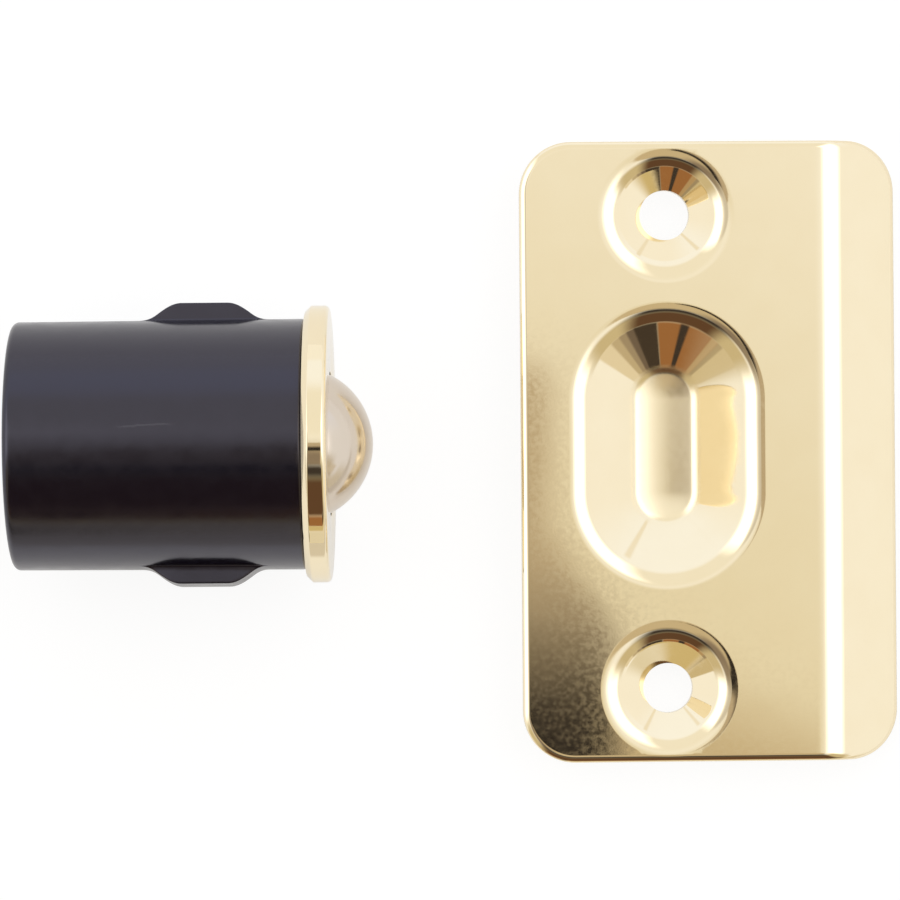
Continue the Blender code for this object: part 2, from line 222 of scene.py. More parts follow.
def stations(low, high, spacing):
    """Evenly spaced values from low to high, at most this far apart."""
    return list(np.linspace(low, high, max(2, int(math.ceil((high - low) / spacing)) + 1)))


def smooth_max(a, b, width):
    """The larger of two arrays, rounded where they are closer than width."""
    blend = np.clip(0.5 + 0.5 * (a - b) / width, 0.0, 1.0)
    return b * (1 - blend) + a * blend + width * blend * (1 - blend)


def grid_faces(rows, columns, wrap_rows):
    """Quads of a grid whose columns wrap round, with its points stored row by row."""
    faces = []
    last = rows if wrap_rows else rows - 1
    for i in range(last):
        for j in range(columns):
            k = (j + 1) % columns
            n = (i + 1) % rows
            faces.append((i * columns + j, i * columns + k, n * columns + k, n * columns + j))
    return faces


def outward(mesh):
    """The same mesh with every face pointing out."""
    shell = bmesh.new()
    shell.from_mesh(mesh)
    bmesh.ops.remove_doubles(shell, verts=shell.verts, dist=1e-7)
    bmesh.ops.recalc_face_normals(shell, faces=shell.faces)
    shell.to_mesh(mesh)
    shell.free()
    return mesh


def rib_height(z):
    """How far a rib stands out of the barrel at each z."""
    away = (np.abs(z + RIB_CENTRE) - RIB_TOP_LENGTH / 2) / RIB_RAMP_LENGTH
    rise = (1 + np.cos(np.pi * np.clip(away, 0, 1))) / 2
    return (RIB_HEIGHT + RIB_SINK) * rise - RIB_SINK


def barrel_angles():
    """Angles round the barrel, close together over the sides of the ribs."""
    rib_edge = math.acos(RIB_HALF_WIDTH / BARREL_RADIUS)
    quarter = (
        stations(0.0, rib_edge - 0.05, math.radians(2.5))
        + stations(rib_edge - 0.045, rib_edge + 0.03, math.radians(0.12))
        + stations(rib_edge + 0.035, math.pi / 2, math.radians(0.8))
    )
    half = quarter + [math.pi - a for a in reversed(quarter[:-1])]
    return half + [2 * math.pi - a for a in reversed(half[1:-1])]


def barrel_profile():
    """(radius, z, whether it is on the ribbed outside), from the spigot round to the back."""
    floor = BACK_WALL - BARREL_LENGTH
    back_radius = BARREL_RADIUS - BARREL_DRAFT
    inside = [
        (SPIGOT_RADIUS - SPIGOT_CHAMFER, floor + SPIGOT_HEIGHT),
        (SPIGOT_RADIUS, floor + SPIGOT_HEIGHT - SPIGOT_CHAMFER),
        (SPIGOT_RADIUS, floor),
        (BORE_RADIUS, floor),
        (BORE_RADIUS, -SEAT_DEPTH),
        (SEAT_RADIUS, -SEAT_DEPTH),
        (SEAT_RADIUS, -BARREL_FRONT),
    ]
    front = arc(
        (BARREL_RADIUS - BARREL_FRONT_ROUND, -BARREL_FRONT - BARREL_FRONT_ROUND),
        BARREL_FRONT_ROUND,
        math.pi / 2,
        0.0,
        5,
    )
    side_start = -BARREL_FRONT - BARREL_FRONT_ROUND
    side_end = BARREL_BACK_ROUND - BARREL_LENGTH
    side = []
    for z in reversed(stations(side_end, side_start, 0.25 * MM)[1:-1]):
        share = (side_start - z) / (side_start - side_end)
        side.append((BARREL_RADIUS - BARREL_DRAFT * share, z))
    back = arc(
        (back_radius - BARREL_BACK_ROUND, side_end), BARREL_BACK_ROUND, 0.0, -math.pi / 2, 8
    )
    return (
        [(r, z, False) for r, z in inside]
        + [(r, z, False) for r, z in front]
        + [(r, z, True) for r, z in side]
        + [(r, z, False) for r, z in back]
    )


def make_barrel():
    angles = np.array(barrel_angles())
    across, up = np.abs(np.cos(angles)), np.abs(np.sin(angles))
    profile = barrel_profile()
    points = []
    for radius, z, ribbed in profile:
        ring = np.full(len(angles), radius)
        if ribbed:
            top = BARREL_RADIUS - BARREL_DRAFT + rib_height(np.array([z]))[0]
            flat = top / np.maximum(up, 0.1)
            # The side leans, so the rib is a little wider at its foot
            side = (RIB_HALF_WIDTH + top * math.tan(RIB_SIDE_DRAFT)) / (
                across + up * math.tan(RIB_SIDE_DRAFT) + 1e-9
            )
            rib = -smooth_max(-flat, -side, RIB_SOFTNESS)
            ring = smooth_max(ring, rib, RIB_FOOT_SOFTNESS)
        points += [(r * math.cos(a), r * math.sin(a), z) for r, a in zip(ring, angles)]
    faces = grid_faces(len(profile), len(angles), False)
    count = len(angles)
    points.append((0.0, 0.0, profile[0][1]))
    points.append((0.0, 0.0, profile[-1][1]))
    start, last = len(points) - 2, (len(profile) - 1) * count
    for j in range(count):
        k = (j + 1) % count
        faces.append((start, k, j))
        faces.append((start + 1, last + j, last + k))
    mesh = outward(smooth_mesh("barrel_look", points, faces))
    mesh.set_sharp_from_angle(angle=math.radians(40))
    return add_object("barrel_look", mesh, barrel_matrix)


def rounded(corners, radius, steps=3):
    """A closed line of (across, up) points with every corner rounded by the same radius."""
    line = []
    count = len(corners)
    for i in range(count):
        before, here, after = (Vector(corners[(i + j) % count]) for j in (-1, 0, 1))
        back, on = (before - here).normalized(), (after - here).normalized()
        turn = math.pi - back.angle(on)
        if turn < math.radians(12):
            line.append(tuple(here))
            continue
        half_sides = ((before - here).length / 2, (after - here).length / 2)
        cut = min(radius * math.tan(turn / 2), *half_sides)
        for j in range(steps + 1):
            t = j / steps
            p = (
                (here + back * cut) * (1 - t) ** 2
                + here * 2 * t * (1 - t)
                + (here + on * cut) * t**2
            )
            line.append(tuple(p))
    return line


def make_ring():
    ball_z = BALL_PROJECTION - ball_radius
    seat_start = math.atan2(-ball_z, math.sqrt(GUIDE_RADIUS**2 - ball_z**2))
    seat = arc((0.0, ball_z), GUIDE_RADIUS, 0.0, seat_start, 12)
    corners = [
        (RING_RADIUS, -FLANGE_FRONT_ROUND - RIM_FRONT_ROW),
        (RING_RADIUS, FLANGE_BACK_BEVEL - FLANGE_THICKNESS + RIM_BACK_ROW),
        (RING_RADIUS, FLANGE_BACK_BEVEL - FLANGE_THICKNESS),
        (RING_RADIUS - FLANGE_BACK_BEVEL, -FLANGE_THICKNESS),
        (SKIRT_RADIUS, -FLANGE_THICKNESS),
        (SKIRT_RADIUS, -SKIRT_END),
        (GUIDE_RADIUS, -SKIRT_END),
        *seat,
    ]
    front = arc(
        (RING_RADIUS - FLANGE_FRONT_ROUND, -FLANGE_FRONT_ROUND),
        FLANGE_FRONT_ROUND,
        math.pi / 2,
        0.0,
        8,
    )
    line = rounded(front + corners, FLANGE_EDGE_ROUND)
    points = []
    for r, z in line:
        for j in range(RING_STEPS):
            a = 2 * math.pi * j / RING_STEPS
            points.append((r * math.cos(a), r * math.sin(a), z))
    mesh = smooth_mesh("face_ring_look", points, grid_faces(len(line), RING_STEPS, True))
    outward(mesh)
    mesh.set_sharp_from_angle(angle=math.radians(30))
    return add_object("face_ring_look", mesh, barrel_matrix)


def make_ball():
    mesh = bpy.data.meshes.new("ball_look")
    sphere = bmesh.new()
    bmesh.ops.create_icosphere(sphere, subdivisions=6, radius=ball_radius)
    sphere.to_mesh(mesh)
    sphere.free()
    mesh.shade_smooth()
    return add_object("ball_look", mesh, Matrix.Translation(ball_centre))


def spring_ends():
    back = BACK_WALL - BARREL_LENGTH + SEAT_GAP + SPRING_WIRE_RADIUS
    reach = ball_radius + SEAT_GAP + SPRING_WIRE_RADIUS
    return back, BALL_PROJECTION - ball_radius - math.sqrt(reach**2 - SPRING_RADIUS**2)


def make_spring():
    back, front = spring_ends()
    open_rise = (front - back - 2 * SPRING_END_RISE) / (SPRING_TURNS - 2)
    per_turn, sides = 48, 16
    points = []
    steps = SPRING_TURNS * per_turn
    for i in range(steps + 1):
        turn = i / per_turn
        closed = min(turn, 1.0) + max(turn - (SPRING_TURNS - 1), 0.0)
        z = back + closed * SPRING_END_RISE + (turn - closed) * open_rise
        a = 2 * math.pi * turn
        for j in range(sides):
            b = 2 * math.pi * j / sides
            r = SPRING_RADIUS + SPRING_WIRE_RADIUS * math.cos(b)
            points.append((r * math.cos(a), r * math.sin(a), z + SPRING_WIRE_RADIUS * math.sin(b)))
    faces = grid_faces(steps + 1, sides, False)
    faces.append(tuple(reversed(range(sides))))
    faces.append(tuple(range(steps * sides, (steps + 1) * sides)))
    mesh = smooth_mesh("spring_look", points, faces)
    outward(mesh)
    mesh.set_sharp_from_angle(angle=math.radians(40))
    return add_object("spring_look", mesh, barrel_matrix)


def walk(start, angle, legs, step=0.04 * MM):
    """A line that rises as it runs outward, as arrays of (across, up, slope angle). A leg is
    (radius, new angle) for an arc, or (None, length) for a straight."""
    across, up = start
    line = [(across, up, angle)]
    for radius, value in legs:
        if radius is None:
            count = max(2, int(value / step))
            for _ in range(count):
                across += math.cos(angle) * value / count
                up += math.sin(angle) * value / count
                line.append((across, up, angle))
            continue
        turn = value - angle
        count = max(6, int(abs(turn) * radius / step))
        for i in range(1, count + 1):
            a = angle + turn * i / count
            middle = angle + turn * (i - 0.5) / count
            across += radius * abs(turn) / count * math.cos(middle)
            up += radius * abs(turn) / count * math.sin(middle)
            line.append((across, up, a))
        angle = value
    return np.array(line).T


def drop(radius, low, high):
    """How far an arc rises between two slope angles."""
    return radius * (math.cos(low) - math.cos(high))


def pocket_line():
    wall = POCKET_WALL_ANGLE
    draw_radius = POCKET_DRAW_IN / math.sin(POCKET_DRAW_ANGLE)
    fixed = drop(POCKET_SHOULDER, POCKET_DRAW_ANGLE, wall)
    fixed += drop(draw_radius, 0.0, POCKET_DRAW_ANGLE)
    low, high = 0.0, math.radians(25)
    # The floor's edge angle for which the shoulder ends at the pocket's radius
    for _ in range(40):
        edge = (low + high) / 2
        rise = drop(POCKET_FLOOR_RADIUS, 0.0, edge) + drop(POCKET_FILLET, edge, wall) + fixed
        straight = (POCKET_DEPTH - rise) / math.sin(wall)
        end = (
            POCKET_FLOOR_RADIUS * math.sin(edge)
            + POCKET_FILLET * (math.sin(wall) - math.sin(edge))
            + straight * math.cos(wall)
            + POCKET_SHOULDER * (math.sin(wall) - math.sin(POCKET_DRAW_ANGLE))
        )
        if end < POCKET_RADIUS:
            low = edge
        else:
            high = edge
    legs = [
        (POCKET_FLOOR_RADIUS, edge),
        (POCKET_FILLET, wall),
        (None, straight),
        (POCKET_SHOULDER, POCKET_DRAW_ANGLE),
        (draw_radius, 0.0),
    ]
    return walk((0.0, -POCKET_DEPTH), 0.0, legs)


def dimple_line():
    wall = DIMPLE_WALL_ANGLE
    draw_radius = DIMPLE_DRAW_IN / math.sin(DIMPLE_DRAW_ANGLE)
    rise = drop(DIMPLE_SHOULDER, DIMPLE_DRAW_ANGLE, wall)
    rise += drop(draw_radius, 0.0, DIMPLE_DRAW_ANGLE)
    straight = (HOLE_DEPTH - rise) / math.sin(wall)
    legs = [
        (None, straight),
        (DIMPLE_SHOULDER, DIMPLE_DRAW_ANGLE),
        (draw_radius, 0.0),
    ]
    return walk((HOLE_RADIUS, -HOLE_DEPTH), wall, legs)


def from_line(line, distance):
    """Height and slope angle of a line at these distances, 0 beyond its end."""
    across, up, angle = line
    height = np.interp(distance, across, up, right=0.0)
    slope = np.interp(distance, across, angle, right=0.0)
    return height, slope


def bend_span():
    """Where the strike's bend starts and ends, with its eased ends."""
    return (LIP_START - LIP_EASE, LIP_START + LIP_BEND_RADIUS * math.sin(LIP_ANGLE) + LIP_EASE)


def strike_surface(x, y):
    """Points of the strike's face over plan points, and its normals there."""
    normal = np.stack([np.zeros_like(x), np.zeros_like(x), np.ones_like(x)], axis=1)
    z = np.zeros_like(x)
    dishes = [(pocket_line(), POCKET_OFFSET, POCKET_STRAIGHT / 2)]
    dishes += [(dimple_line(), side * HOLE_SPACING / 2, 0.0) for side in (-1, 1)]
    for line, centre_y, half_straight in dishes:
        dx = x - FEATURE_X
        dy = y - centre_y
        dy = dy - np.clip(dy, -half_straight, half_straight)
        distance = np.hypot(dx, dy)
        height, slope = from_line(line, distance)
        inside = distance < line[0][-1]
        safe = np.maximum(distance, 1e-9)
        z = np.where(inside, z + height, z)
        lean = np.sin(slope)
        tilt = np.stack([-dx / safe * lean, -dy / safe * lean, np.cos(slope)], axis=1)
        normal = np.where(inside[:, None], normal + tilt - np.array([0, 0, 1]), normal)
    normal /= np.linalg.norm(normal, axis=1)[:, None]
    start, end = bend_span()
    across = np.linspace(start, strike_width, 400)
    share = np.clip((across - start) / (end - start), 0.0, 1.0)
    angles = LIP_ANGLE * share * share * (3 - 2 * share)
    steps = np.tan((angles[1:] + angles[:-1]) / 2) * np.diff(across)
    heights = -np.concatenate([[0.0], np.cumsum(steps)])
    lip = x > start
    angle = np.interp(x, across, angles)
    z = np.where(lip, z + np.interp(x, across, heights), z)
    bent = np.stack([np.sin(angle), np.zeros_like(angle), np.cos(angle)], axis=1)
    normal = np.where(lip[:, None], bent, normal)
    return np.stack([x, y, z], axis=1), normal


def outline_loop(inset, spacing=0.4 * MM):
    """The strike's rounded outline, moved in by this much, with its outward directions."""
    points, outs = [], []
    sides = []
    for x_side, y_side, radius, start in (
        (1, 1, LIP_CORNER, 0.0),
        (-1, 1, STRIKE_CORNER, math.pi / 2),
        (-1, -1, STRIKE_CORNER, math.pi),
        (1, -1, LIP_CORNER, 3 * math.pi / 2),
    ):
        centre = (
            strike_width - radius if x_side > 0 else radius,
            y_side * (strike_half_height - radius),
        )
        sides.append((centre, radius, start))
    for i, (centre, radius, start) in enumerate(sides):
        steps = 18
        for j in range(steps + 1):
            a = start + math.pi / 2 * j / steps
            out = (math.cos(a), math.sin(a))
            points.append([centre[k] + (radius - inset) * out[k] for k in (0, 1)])
            outs.append(out)
        following = sides[(i + 1) % 4]
        first = np.array(points[-1])
        second = np.array(
            [following[0][k] + (following[1] - inset) * outs[-1][k] for k in (0, 1)]
        )
        count = int(np.linalg.norm(second - first) / spacing)
        for j in range(1, count):
            points.append(list(first + (second - first) * j / count))
            outs.append(outs[-1])
    return np.array(points), np.array(outs)


def dish_rings(line, centre_y, half_straight, spacing, turn_steps):
    """Rings of plan points over a dish, and the plan radius where they end."""
    across, _, angle = line
    rings = []
    path = np.concatenate([[0], np.cumsum(np.hypot(np.diff(across), np.diff(angle) * 0.5 * MM))])
    marks = np.interp(np.linspace(0, path[-1], int(path[-1] / spacing) + 1), path, across)
    for radius in marks:
        if radius < 1e-6:
            continue
        ring = []
        for j in range(turn_steps):
            a = 2 * math.pi * (j + 0.5) / turn_steps
            shift = math.copysign(half_straight, math.sin(a))
            ring.append((FEATURE_X + radius * math.cos(a), centre_y + shift + radius * math.sin(a)))
        if half_straight:
            for side in (-1, 1):
                for s in stations(-half_straight, half_straight, STRAIGHT_SPACING)[1:-1]:
                    ring.append((FEATURE_X + side * radius, centre_y + s))
        rings.append(ring)
    if half_straight:
        middle_line = stations(-half_straight, half_straight, STRAIGHT_SPACING)
        rings.append([(FEATURE_X, centre_y + s) for s in middle_line])
    return rings, marks[-1]


def make_strike():
    roll_angles = [math.radians(a) for a in (0, 15, 30, 45, 60, 75, 90)]
    loops = []
    for a in roll_angles:
        plan, out = outline_loop(EDGE_ROLL_WIDTH * (1 - math.sin(a)))
        loops.append((plan, out, a))
    plan_points = [loop[0] for loop in loops]
    margin = 0.3 * MM
    hole_ids = []
    pocket_rings, pocket_end = dish_rings(
        pocket_line(), POCKET_OFFSET, POCKET_STRAIGHT / 2, DISH_SPACING, POCKET_STEPS
    )
    plan_points += [np.array(ring) for ring in pocket_rings]
    for side in (-1, 1):
        centre_y = side * HOLE_SPACING / 2
        rings, dimple_end = dish_rings(dimple_line(), centre_y, 0.0, DISH_SPACING, DIMPLE_STEPS)
        first = sum(len(points) for points in plan_points)
        hole_ids.append(list(range(first, first + len(rings[0]))))
        for ring in rings:
            ring = np.array(ring)
            plan_points.append(ring[inside_outline(ring, EDGE_ROLL_WIDTH + margin)])
    rows = stations(-strike_half_height + 1.0 * MM, strike_half_height - 1.0 * MM, 0.7 * MM)
    bend_start, bend_end = bend_span()
    fill = []
    for i, y in enumerate(rows):
        for x in stations(1.0 * MM, bend_start - 0.5 * MM, 0.7 * MM):
            fill.append((x + (0.35 * MM if i % 2 else 0.0), y))
        for x in stations(bend_start, bend_end, 0.2 * MM):
            fill.append((x, y))
        for x in stations(bend_end + 0.5 * MM, strike_width - 1.0 * MM, 0.6 * MM):
            fill.append((x, y))
    fill = np.array(fill)
    dx, dy = fill[:, 0] - FEATURE_X, fill[:, 1]
    along = dy - POCKET_OFFSET
    along -= np.clip(along, -POCKET_STRAIGHT / 2, POCKET_STRAIGHT / 2)
    keep = np.hypot(dx, along) > pocket_end + margin
    for side in (-1, 1):
        keep &= np.hypot(dx, dy - side * HOLE_SPACING / 2) > dimple_end + margin
    keep &= inside_outline(fill, EDGE_ROLL_WIDTH + margin)
    plan_points.append(fill[keep])
    plan = np.concatenate(plan_points)

    # Edges that the triangles must keep: the outline and the two holes
    edges = []
    outline_first = sum(len(loop[0]) for loop in loops[:-1])
    outline_count = len(loops[-1][0])
    outline_ids = list(range(outline_first, outline_first + outline_count))
    for ids in [outline_ids, *hole_ids]:
        edges += [(ids[i], ids[(i + 1) % len(ids)]) for i in range(len(ids))]
    flat = [Vector((x / MM, y / MM)) for x, y in plan]
    out_points, _, triangles, _, _, _ = delaunay_2d_cdt(flat, edges, [], 4, 1e-5, True)
    if len(out_points) != len(flat):
        raise RuntimeError(f"the strike's points met: {len(flat)} became {len(out_points)}")

    surface, normal = strike_surface(plan[:, 0], plan[:, 1])
    top, top_normal = surface.copy(), normal.copy()
    first = 0
    for loop_plan, out, a in loops:
        ids = slice(first, first + len(loop_plan))
        depth = EDGE_ROLL_DEPTH * (1 - math.cos(a))
        top[ids] -= normal[ids] * depth
        side = np.concatenate([out, np.zeros((len(out), 1))], axis=1)
        side -= normal[ids] * np.sum(side * normal[ids], axis=1)[:, None]
        side /= np.linalg.norm(side, axis=1)[:, None]
        tilted = side * math.sin(a) / EDGE_ROLL_WIDTH + normal[ids] * math.cos(a) / EDGE_ROLL_DEPTH
        top_normal[ids] = tilted / np.linalg.norm(tilted, axis=1)[:, None]
        first += len(loop_plan)
    back = surface - normal * SHEET
    outline = np.array(outline_ids)
    back[outline] = surface[outline] - normal[outline] * (SHEET - EDGE_BACK_BEVEL)
    for layer in (top, back):
        layer[:, 1] = np.clip(layer[:, 1], -strike_half_height, strike_half_height)

    points = list(top) + list(back)
    faces, corner_normals = [], []
    count = len(plan)
    for a, b, c in triangles:
        middle = (plan[a] + plan[b] + plan[c]) / 3
        from_hole = math.hypot(middle[0] - FEATURE_X, abs(middle[1]) - HOLE_SPACING / 2)
        if from_hole < HOLE_RADIUS * 0.999:
            continue
        u, v = plan[b] - plan[a], plan[c] - plan[a]
        if u[0] * v[1] - u[1] * v[0] < 0:
            b, c = c, b
        faces.append((a, b, c))
        corner_normals += [top_normal[a], top_normal[b], top_normal[c]]
        faces.append((count + a, count + c, count + b))
        corner_normals += [-normal[a], -normal[c], -normal[b]]

    # The cut edge all round
    wall = np.concatenate([loops[-1][1], np.zeros((outline_count, 1))], axis=1)
    wall -= normal[outline] * np.sum(wall * normal[outline], axis=1)[:, None]
    wall /= np.linalg.norm(wall, axis=1)[:, None]
    for i in range(outline_count):
        j = (i + 1) % outline_count
        a, b = outline_ids[i], outline_ids[j]
        faces.append((count + a, count + b, b, a))
        corner_normals += [wall[i], wall[j], wall[j], wall[i]]

    # The holes: a straight wall, then a flat land round its foot
    for side, ids in zip((-1, 1), hole_ids):
        centre = np.array([FEATURE_X, side * HOLE_SPACING / 2])
        ring = plan[np.array(ids)]
        direction = (ring - centre) / np.linalg.norm(ring - centre, axis=1)[:, None]
        rings = [ids]
        for radius, z in ((HOLE_RADIUS, -HOLE_BOTTOM), (HOLE_LAND_RADIUS, -HOLE_BOTTOM)):
            start = len(points)
            points += [(*(centre + d * radius), z) for d in direction]
            rings.append(list(range(start, start + len(ids))))
        rings.append([count + i for i in ids])
        inward = np.concatenate([-direction, np.zeros((len(ids), 1))], axis=1)
        down = np.tile([0.0, 0.0, -1.0], (len(ids), 1))
        cone = -normal[np.array(ids)]
        for upper, lower, shade in zip(rings[:-1], rings[1:], (inward, down, cone)):
            for i in range(len(ids)):
                j = (i + 1) % len(ids)
                faces.append((upper[i], upper[j], lower[j], lower[i]))
                corner_normals += [shade[i], shade[j], shade[j], shade[i]]
    mesh = smooth_mesh("strike_look", points, faces)
    mesh.normals_split_custom_set([tuple(n) for n in corner_normals])
    return add_object("strike_look", mesh, strike_matrix)


def inside_outline(points, inset):
    """Which plan points lie inside the strike's outline moved in by this much."""
    x = points[:, 0]
    y = np.abs(points[:, 1])
    inside = (x > inset) & (x < strike_width - inset) & (y < strike_half_height - inset)
    for radius, centre_x, is_lip in (
        (STRIKE_CORNER, STRIKE_CORNER, False),
        (LIP_CORNER, strike_width - LIP_CORNER, True),
    ):
        centre_y = strike_half_height - radius
        corner = (y > centre_y) & ((x > centre_x) if is_lip else (x < centre_x))
        inside &= ~(corner & (np.hypot(x - centre_x, y - centre_y) > radius - inset))
    return inside


# Node helpers


def add(tree, kind, inputs=None, **settings):
    node = tree.nodes.new(kind)
    for name, value in settings.items():
        setattr(node, name, value)
    for name, value in (inputs or {}).items():
        socket = node.inputs[name]
        if isinstance(value, bpy.types.NodeSocket):
            tree.links.new(value, socket)
        else:
            socket.default_value = value
    return node


def maths(tree, operation, *values, clamp=False):
    inputs = dict(enumerate(values))
    return add(tree, "ShaderNodeMath", inputs, operation=operation, use_clamp=clamp).outputs[0]


def ramp_between(tree, value, low, high, out_low=0.0, out_high=1.0):
    """A smooth step of a value from low to high."""
    inputs = {
        "Value": value,
        "From Min": low,
        "From Max": high,
        "To Min": out_low,
        "To Max": out_high,
    }
    return add(tree, "ShaderNodeMapRange", inputs, interpolation_type="SMOOTHSTEP").outputs[0]


def mix_colours(tree, share, first, second):
    node = add(tree, "ShaderNodeMix", data_type="RGBA")
    for index, value in ((0, share), (6, first), (7, second)):
        socket = node.inputs[index]
        if isinstance(value, bpy.types.NodeSocket):
            tree.links.new(value, socket)
        elif isinstance(value, tuple):
            socket.default_value = (*value, 1.0)
        else:
            socket.default_value = value
    return node.outputs[2]


def noise(tree, coordinates, size, detail=2.0, roughness=0.5):
    """Noise whose lumps are about this size, from 0 to 1."""
    inputs = {"Vector": coordinates, "Scale": 1.0 / size, "Detail": detail, "Roughness": roughness}
    return add(tree, "ShaderNodeTexNoise", inputs).outputs["Fac"]


def new_material(name):
    material = bpy.data.materials.new(name)
    material.use_nodes = True
    tree = material.node_tree
    shader = tree.nodes["Principled BSDF"]
    place = add(tree, "ShaderNodeTexCoord").outputs["Object"]
    return material, tree, shader, place


def grain_bump(tree, place, grains):
    """Stacked bumps: (size, height, detail) for each. The height is in metres."""
    normal = None
    for size, height, detail in grains:
        inputs = {"Height": noise(tree, place, size, detail), "Strength": 1.0, "Distance": height}
        bump = add(tree, "ShaderNodeBump", inputs)
        if normal:
            tree.links.new(normal, bump.inputs["Normal"])
        normal = bump.outputs["Normal"]
    return normal


def brass_material():
    """Thin bright brass plating over pressed steel."""
    material, tree, shader, place = new_material("brass_plate_look")
    shader.inputs["Metallic"].default_value = 1.0
    cloud = noise(tree, place, 4.0 * MM, 3.0)
    colour = mix_colours(tree, cloud, (0.925, 0.80, 0.56), (0.955, 0.845, 0.615))
    tree.links.new(colour, shader.inputs["Base Color"])
    fine = noise(tree, place, 0.5 * MM, 2.0)
    rough = ramp_between(tree, fine, 0.3, 0.7, 0.03, 0.06)
    # The punch left the bottom of the pocket duller
    along, _, up = add(tree, "ShaderNodeSeparateXYZ", {0: place}).outputs
    low = ramp_between(tree, up, strike_high.z - 2.95 * MM, strike_high.z - 3.2 * MM)
    strike_side = maths(tree, "GREATER_THAN", along, strike_low.x)
    dull = maths(tree, "MULTIPLY", low, strike_side)
    rough = maths(tree, "MULTIPLY_ADD", dull, 0.15, rough)
    tree.links.new(rough, shader.inputs["Roughness"])
    normal = grain_bump(tree, place, [(0.2 * MM, 0.00012 * MM, 2.0), (4.0 * MM, 0.0015 * MM, 1.0)])
    tree.links.new(normal, shader.inputs["Normal"])
    return material


def black_plastic_material():
    """Satin moulded plastic with a fine mould texture."""
    material, tree, shader, place = new_material("black_plastic_look")
    shader.inputs["IOR"].default_value = 1.72
    shader.inputs["Specular Tint"].default_value = (0.86, 0.82, 1.0, 1.0)
    cloud = noise(tree, place, 3.0 * MM, 3.0)
    colour = mix_colours(tree, cloud, (0.0025, 0.0025, 0.007), (0.0045, 0.004, 0.0095))
    # A faint scuff along the top of the barrel
    along, side, _ = add(tree, "ShaderNodeSeparateXYZ", {0: place}).outputs
    drift = maths(tree, "MULTIPLY_ADD", along, 0.05, SCUFF_SIDE - 0.05 * SCUFF_ALONG)
    drift = maths(tree, "MULTIPLY_ADD", noise(tree, place, 1.2 * MM), 0.5 * MM, drift)
    off = maths(tree, "ABSOLUTE", maths(tree, "SUBTRACT", side, drift))
    end = maths(tree, "ABSOLUTE", maths(tree, "SUBTRACT", along, SCUFF_ALONG))
    scuff = maths(
        tree,
        "MULTIPLY",
        ramp_between(tree, off, 0.13 * MM, 0.03 * MM, 0.0, 0.8),
        ramp_between(tree, end, SCUFF_LENGTH / 2, SCUFF_LENGTH / 4),
    )
    colour = mix_colours(tree, scuff, colour, (0.035, 0.035, 0.042))
    tree.links.new(colour, shader.inputs["Base Color"])
    rough = ramp_between(tree, noise(tree, place, 1.5 * MM, 2.0), 0.3, 0.7, 0.17, 0.23)
    tree.links.new(rough, shader.inputs["Roughness"])
    normal = grain_bump(tree, place, [(0.25 * MM, 0.003 * MM, 2.0), (3.0 * MM, 0.02 * MM, 1.0)])
    tree.links.new(normal, shader.inputs["Normal"])
    return material


def ball_steel_material():
    """A polished steel ball with faint smears."""
    material, tree, shader, place = new_material("ball_steel_look")
    shader.inputs["Metallic"].default_value = 1.0
    cloud = noise(tree, place, 2.5 * MM, 3.0)
    colour = mix_colours(tree, cloud, (0.67, 0.585, 0.495), (0.735, 0.645, 0.54))
    tree.links.new(colour, shader.inputs["Base Color"])
    rough = ramp_between(tree, cloud, 0.3, 0.7, 0.1, 0.18)
    tree.links.new(rough, shader.inputs["Roughness"])
    normal = grain_bump(tree, place, [(0.6 * MM, 0.002 * MM, 2.0)])
    tree.links.new(normal, shader.inputs["Normal"])
    return material


def spring_steel_material():
    """Drawn wire, a little dull."""
    material, tree, shader, place = new_material("spring_steel_look")
    shader.inputs["Metallic"].default_value = 1.0
    cloud = noise(tree, place, 1.0 * MM, 3.0)
    colour = mix_colours(tree, cloud, (0.40, 0.40, 0.41), (0.50, 0.50, 0.51))
    tree.links.new(colour, shader.inputs["Base Color"])
    tree.links.new(ramp_between(tree, cloud, 0.2, 0.8, 0.24, 0.38), shader.inputs["Roughness"])
    normal = grain_bump(tree, place, [(0.15 * MM, 0.003 * MM, 2.0)])
    tree.links.new(normal, shader.inputs["Normal"])
    return material
